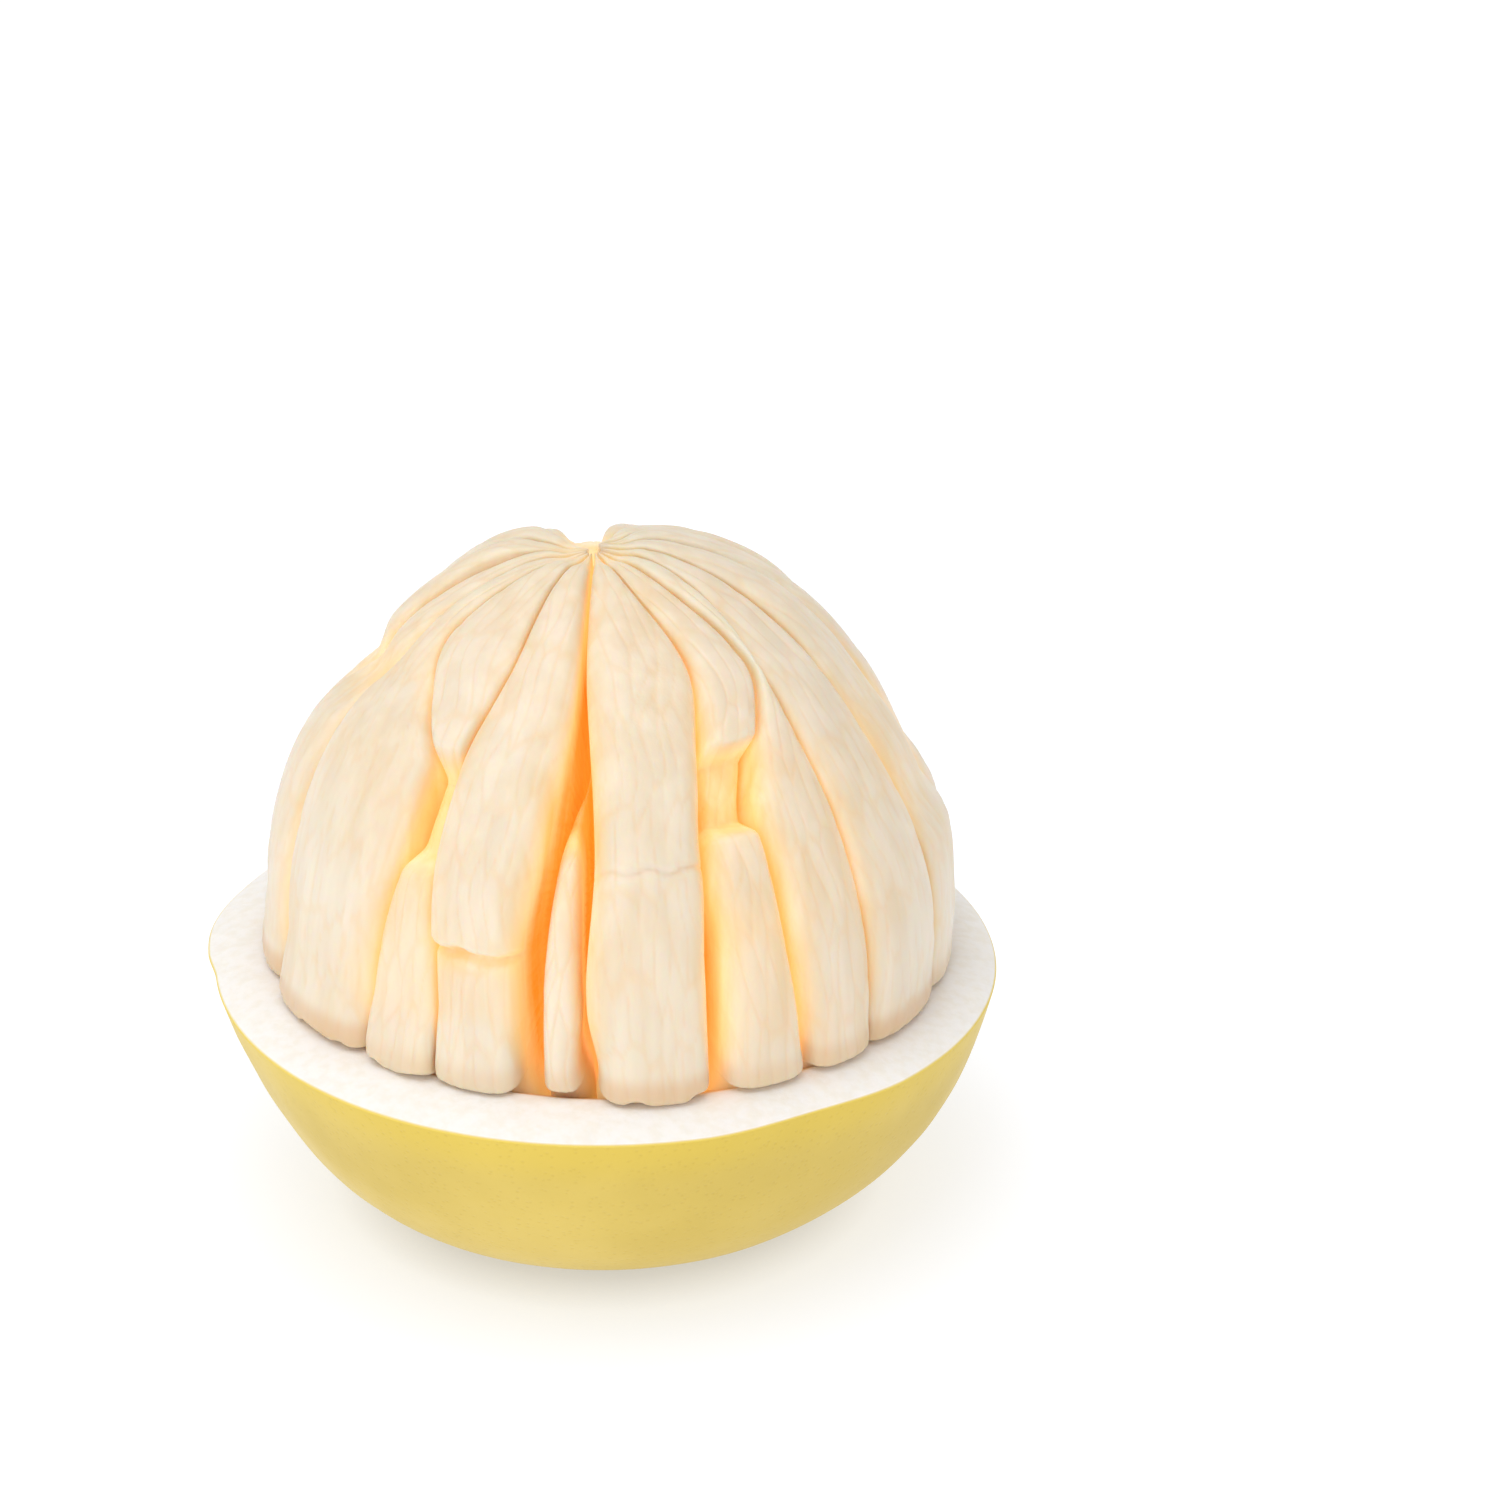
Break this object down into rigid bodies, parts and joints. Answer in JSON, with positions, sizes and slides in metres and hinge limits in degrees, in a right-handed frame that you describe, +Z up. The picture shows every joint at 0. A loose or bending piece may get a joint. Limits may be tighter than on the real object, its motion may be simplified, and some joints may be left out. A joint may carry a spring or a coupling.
{
  "type": "pomelo",
  "caption": "Pomelo peeled down to a half rind cup of thick white pith, with its bare segments standing in the cup as a dome round a slim open core.",
  "frame": {"origin": "centre of the flat spot under the half rind, on the surface that the fruit rests on", "axes": "+Z up along the fruit's core; -Y is the front, where the deep gap between two segments shows; +X to the right seen from the front"},
  "size_m": [0.152, 0.1498, 0.1323],
  "materials": {
    "rind": "waxy yellow skin with oil glands outside, matt white pith on the cut ring and in the cup",
    "flesh": "moist, translucent, pale cream juice sacs, orange where they are deep in a gap"
  },
  "bodies": {
    "root": {"half_rind": "rind", "segment_a": "flesh", "segment_b": "flesh", "segment_c": "flesh", "segment_d": "flesh", "segment_e": "flesh", "segment_f": "flesh", "segment_g": "flesh", "segment_h": "flesh", "segment_i": "flesh", "segment_j": "flesh", "segment_k": "flesh", "segment_l": "flesh", "segment_m": "flesh", "segment_n": "flesh", "segment_o": "flesh", "segment_p": "flesh", "segment_q": "flesh"}
  },
  "joints": []
}
